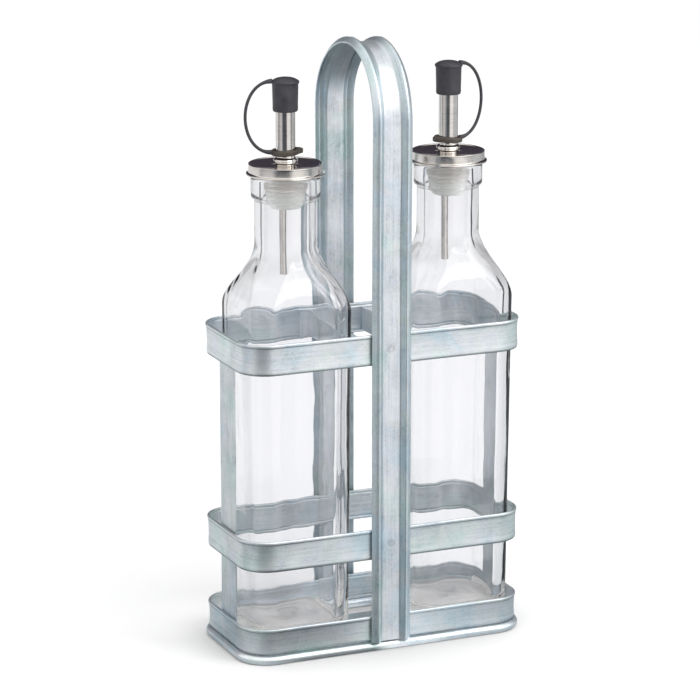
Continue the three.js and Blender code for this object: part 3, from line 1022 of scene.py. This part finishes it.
def tether_ring(side, material):
    """Flat-sided ring with a pull lug opposite the tether."""
    node = side + "_tether_ring"
    low, high, centre = box_of(node)
    outer = half_length(node)
    inner = outer - RING_WIDTH
    half = 0.85 * (high.z - low.z) / 2  # thinner than the box, since it tilts
    way = tether_way(side)
    profile = rounded([
        (inner, -half, 0.5 * MM),
        (outer, -half, 0.9 * MM),
        (outer, half, 0.9 * MM),
        (inner, half, 0.5 * MM),
    ], steps=5)
    rings = []
    for angle in angles(80):
        out = level_way(angle)
        facing = out.dot(way)
        lug = math.exp(-(math.acos(max(-1, min(1, -facing))) / LUG_SPREAD) ** 4)
        ring = []
        for radius, z in profile:
            reach = radius + LUG_REACH * lug * smoothstep(radius, inner, outer)
            height = centre.z + z - RING_TILT * facing
            ring.append(Vector((centre.x, centre.y, height)) + out * reach)
        rings.append(ring)
    made = grid(node + "_moulding", rings, run_closed=True)
    finished(made, side + "_ring", material, node)


def spout_cap(side, material):
    """Tapered skirt with fine grip ribs at its hem, under a domed head disc."""
    node = side + "_spout_cap"
    low, high, centre = box_of(node)
    head = half_length(node)
    neck_z = low.z + CAP_NECK_UP
    profile = rounded([
        (0, low.z + CAP_DEPTH),
        (CAP_BORE, low.z + CAP_DEPTH, 0.5 * MM),
        (CAP_BORE, low.z, 0.2 * MM),
        (CAP_SKIRT - 0.1 * MM, low.z, 0.5 * MM),
        (CAP_SKIRT + 0.10 * MM, low.z + 1.5 * MM),
        (CAP_SKIRT + 0.16 * MM, low.z + 3.0 * MM),
        (CAP_SKIRT + 0.4 * MM, neck_z, 0.3 * MM),
        (head, neck_z + 0.5 * MM, 0.4 * MM),
        (head, neck_z + 1.4 * MM, 0.6 * MM),
        (head * 0.62, high.z - 0.45 * MM, 2.2 * MM),
        (0, high.z),
    ], closed=False, steps=5)
    rings = []
    for radius, z in profile:
        middle = Vector((centre.x, centre.y, z))
        grip = GRIP_DEPTH * smoothstep(radius, CAP_BORE, CAP_SKIRT - 0.1 * MM)
        grip *= 1 - smoothstep(z, low.z + 2.2 * MM, low.z + 3.2 * MM)
        ring = []
        for angle in angles(144):
            reach = max(radius, 0.01 * MM) + grip * math.cos(GRIP_RIBS * angle)
            ring.append(middle + level_way(angle) * reach)
        rings.append(ring)
    made = grid(node + "_moulding", rings, capped=True, sharp=50)
    finished(made, side + "_cap", material, node)


def tether_curve(side, start_z, end_z, steps):
    """The tether's middle line, from the cap's head to the ring: [(out from the axis, height)]."""
    start = half_length(side + "_spout_cap") - 0.4 * MM
    end = half_length(side + "_tether_ring") - 0.3 * MM
    curve = []
    for share in between(0, 1, steps):
        swing = math.pi * share
        base = lerp(start, end, share)
        out = base + (TETHER_REACH - base) * math.sin(swing) ** 0.92
        height = (start_z + end_z) / 2 + (start_z - end_z) / 2 * math.cos(swing)
        curve.append(Vector((out, height)))
    return curve


def tether(side, material, steps=72):
    """Round strap that bows out from the cap's head and back in to the ring, thicker at its
    ends."""
    node = side + "_tether"
    axis = box_of(side + "_tether_ring")[2]
    way = tether_way(side)
    sideways = Vector((-way.y, way.x, 0))
    start_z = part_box(side + "_spout_cap")[0].z + CAP_HOLD_UP
    end_z = axis.z
    curve = tether_curve(side, start_z, end_z, steps)
    tube = []
    for index, (out, height) in enumerate(curve):
        run = (curve[min(steps, index + 1)] - curve[max(0, index - 1)]).normalized()
        normal = way * run.y + Vector((0, 0, -run.x))
        point = Vector((axis.x, axis.y, height)) + way * out
        near_end = max(math.exp(-(index / 5) ** 2), math.exp(-((steps - index) / 5) ** 2))
        thick = TETHER_RADIUS * (1 + 0.55 * near_end)
        tube.append([
            point + (normal * math.cos(angle) + sideways * math.sin(angle)) * thick
            for angle in angles(14)
        ])
    made = grid(node + "_strap", tube, capped=True)
    made.data.materials.append(material)
    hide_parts(node)
    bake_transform(made)


# ---- stage ----

# The studio as a mirror sees it, round the set: (azimuth in degrees, colour). The dark stretch
# is the unlit side of the room, where the camera stands.
BRIGHT = (0.84, 0.85, 0.87)
SOFT = (0.62, 0.64, 0.66)
PALE = (0.56, 0.59, 0.62)
DIM = (0.40, 0.42, 0.44)
DARK = (0.09, 0.098, 0.115)
ROOM = [
    (-180, BRIGHT), (-114, BRIGHT), (-106, DIM), (-94, DIM), (-88, SOFT), (-64, SOFT),
    (-53, DARK), (-12, DARK), (0, WHITE), (27, WHITE), (44, PALE), (98, PALE),
    (112, DIM), (140, DIM), (155, BRIGHT), (180, BRIGHT),
]
ABOVE_BACKDROP = (0.055, 0.048, 0.065)
ROOM_THROUGH_GLASS = 0.38
CARD_GREY = (0.22, 0.24, 0.25)
CARD_BLACK = (0.03, 0.035, 0.045)


def reflected(tree):
    """1 for a ray that has been reflected on its way, and 0 for any other."""
    path = add_node(tree, "LightPath").outputs
    return math_value(tree, "MINIMUM", path["Glossy Depth"], 1.0)


def mirror_ray(tree):
    """How much of the room a ray sees: all of it straight from a shiny surface, some when the ray
    has been through glass since, and none for any other ray."""
    path = add_node(tree, "LightPath").outputs
    straight = math_value(tree, "SUBTRACT", path["Is Glossy Ray"], path["Is Transmission Ray"])
    through_glass = math_value(tree, "MULTIPLY", reflected(tree), ROOM_THROUGH_GLASS)
    return math_value(tree, "MAXIMUM", straight, through_glass)


def room_colour(tree, place):
    """The room's colour in the level direction of a place."""
    forwards = math_value(tree, "MULTIPLY", component(tree, place, "Y"), -1.0)
    angle = math_value(tree, "ARCTAN2", component(tree, place, "X"), forwards)
    turn = mapped(tree, angle, -math.pi, math.pi)
    return colour_ramp(tree, turn, [(azimuth / 360 + 0.5, colour) for azimuth, colour in ROOM])


def at_azimuth(degrees, distance, height):
    """A place round the set, by the azimuth of the side that it stands on."""
    angle = math.radians(degrees)
    return Vector((math.sin(angle) * distance, -math.cos(angle) * distance, height))


def stage_sheet(name, material, middle, across, up):
    """A flat rectangle: its middle, and the ways from there to the middle of two edges."""
    corners = [middle - across - up, middle + across - up, middle + across + up,
               middle - across + up]
    mesh = bpy.data.meshes.new(name)
    mesh.from_pydata(corners, [], [(0, 1, 2, 3)])
    mesh.materials.append(material)
    made = in_scene(name, mesh)
    return made


def floor():
    """A very wide pale floor, so that low views reach the horizon. To mirrors it glows with the
    room's colours, under a painted shadow that darkens it towards the set's foot."""
    material, tree, place = new_material("pale_floor")
    plain = add_node(tree, "BsdfDiffuse", {"Color": (0.97, 0.97, 0.97, 1)})
    # painted shadow and light round the set's foot, seen only in reflections
    painted_foot_shade = colour_ramp(tree, length_of(tree, place), [
        (0.05, (0.85, 0.87, 0.87)),
        (0.10, (0.53, 0.57, 0.58)),
        (0.26, (0.80, 0.81, 0.81)),
        (0.45, (0.88, 0.88, 0.88)),
        (0.80, WHITE),
    ])
    seen = multiplied(tree, room_colour(tree, place), painted_foot_shade)
    mirrored = add_node(tree, "Emission", {"Color": seen})
    output(tree, mixed_shader(tree, mirror_ray(tree), plain, mirrored))
    reach = 400.0
    stage_sheet("floor", material, Vector((0, 0, 0)), Vector((reach, 0, 0)), Vector((0, reach, 0)))


def edge_card(name, azimuth, width, colour, distance=0.6, height=0.6):
    """A tall dark card out to one side. Only light that has been reflected inside the glass sees
    it, which gives the glass its dark edges."""
    material, tree, _ = new_material(name)
    dark = add_node(tree, "Emission", {"Color": (*colour, 1)})
    clear = add_node(tree, "BsdfTransparent")
    output(tree, mixed_shader(tree, reflected(tree), clear, dark))
    middle = at_azimuth(azimuth, distance, 0.2)
    outward = at_azimuth(azimuth, 1, 0)
    across = Vector((-outward.y, outward.x, 0)) * width / 2
    made = stage_sheet(name, material, middle, across, Vector((0, 0, height / 2)))
    made.visible_camera = False
    made.visible_diffuse = False
    made.visible_glossy = False
    made.visible_shadow = False


def aim(made, place, target):
    """Puts a lamp or the camera at a place and turns it towards the target."""
    made.location = place
    made.rotation_euler = (target - place).to_track_quat("-Z", "Y").to_euler()


def soft_light(name, place, size, power):
    data = bpy.data.lights.new(name, "AREA")
    data.shape = "RECTANGLE"
    data.size, data.size_y = size
    data.energy = power
    made = in_scene(name, data)
    aim(made, Vector(place), VIEW_CENTRE)
    made.visible_camera = False


def mixed_colour(tree, share, first, second):
    inputs = {0: share, 6: first, 7: (*second, 1)}
    return add_node(tree, "Mix", inputs, data_type="RGBA").outputs[2]


def studio_world():
    """White all round. Mirrors also see the room, which is white overhead and dark above the
    backdrop."""
    world = bpy.data.worlds.new("studio")
    bpy.context.scene.world = world
    world.use_nodes = True
    tree = world.node_tree
    tree.nodes.clear()
    way = add_node(tree, "TexCoord").outputs["Generated"]
    across, back, up = [component(tree, way, axis) for axis in "XYZ"]
    room = mixed_colour(tree, mapped(tree, up, 0.0, 0.10), room_colour(tree, way), WHITE)
    over_horizon = mapped(tree, up, 0.0, 0.06)
    under_ceiling = mapped(tree, up, 0.62, 0.86, 1.0, 0.0)
    behind = mapped(tree, weighed(tree, [(across, 0.4), (back, 0.9)]), 0.25, 0.50)
    dark = math_value(tree, "MULTIPLY", over_horizon, under_ceiling)
    dark = math_value(tree, "MULTIPLY", dark, behind)
    seen = mixed_colour(tree, dark, room, ABOVE_BACKDROP)
    plain = add_node(tree, "Background", {"Color": (*WHITE, 1)})
    mirrored = add_node(tree, "Background", {"Color": seen})
    mix = mixed_shader(tree, mirror_ray(tree), plain, mirrored)
    add_node(tree, "OutputWorld", {"Surface": mix})


def camera():
    elevation = math.radians(VIEW_ELEVATION)
    back = at_azimuth(VIEW_AZIMUTH, math.cos(elevation), math.sin(elevation))
    right = level_way(math.radians(VIEW_AZIMUTH))
    up = back.cross(right)
    data = bpy.data.cameras.new("camera")
    data.lens = LENS
    data.sensor_width = 36
    data.clip_start = 0.1
    data.clip_end = 2000
    made = in_scene("camera", data)
    target = VIEW_CENTRE + right * VIEW_SLIDE[0] + up * VIEW_SLIDE[1]
    aim(made, VIEW_CENTRE + back * VIEW_DISTANCE, target)
    bpy.context.scene.camera = made


def stage():
    floor()
    studio_world()
    soft_light("overhead", place=(0.5, -1.1, 1.35), size=(1.2, 0.9), power=8.5)
    soft_light("front_right", place=(1.3, -1.2, 0.9), size=(0.8, 1.2), power=6)
    for side, turn, colour in (("left", -1, CARD_GREY), ("right", 1, CARD_BLACK)):
        edge_card(side + "_edge_card", VIEW_AZIMUTH + 90 * turn, 0.2, colour)
        edge_card(side + "_rear_card", VIEW_AZIMUTH + 122 * turn, 0.09, colour)
    camera()
    bpy.context.scene.view_settings.view_transform = "Standard"
    cycles = bpy.context.scene.cycles
    cycles.max_bounces = 24
    cycles.transmission_bounces = 20
    cycles.transparent_max_bounces = 16
    cycles.glossy_bounces = 6
    cycles.caustics_refractive = False
    cycles.caustics_reflective = False


# ---- the set ----

def carrier():
    # the bands' sheet, with the painted hem shadow line
    sheet = galvanised_steel("galvanised", painted_hem_shadow=True)
    # painted shade: a copy of the galvanised steel 0.9 times as dark, for the cradle strap
    dull = galvanised_steel("galvanised_painted_darker", 0.9)
    # painted light: a copy 1.12 times as light, for the dividers
    bright = galvanised_steel("galvanised_painted_lighter", 1.12)
    for node in ("top_band", "middle_band", "bottom_band"):
        band(node, sheet)
    # painted light: the rim's copy is 1.16 times as light, without the painted underside shade
    base_rim(galvanised_steel("galvanised_rim_painted_lighter", 1.16, underside_shade=False))
    handle_strap(galvanised_steel("galvanised_strap", welds=weld_heights()))
    cradle_strap(dull)
    for side in SIDES:
        divider(side, bright)


def cruets():
    glass = clear_glass("glass")
    stippled = clear_glass("stippled_glass", stippled=True)
    steel = polished_steel("stainless")
    bright_steel = polished_steel("bright_stainless", 0.62)
    plastic = soft_plastic("stopper_plastic")
    rubber = black_rubber("rubber")
    aged_rubber = black_rubber("aged_rubber", 1.0)
    for side in SIDES:
        bottle(side, glass, stippled)
        stopper(side, plastic)
        crown(side, steel)
        spout(side, bright_steel)
        breather(side, steel)
        tether_ring(side, aged_rubber)
        spout_cap(side, rubber)
        tether(side, rubber)


carrier()
cruets()
stage()
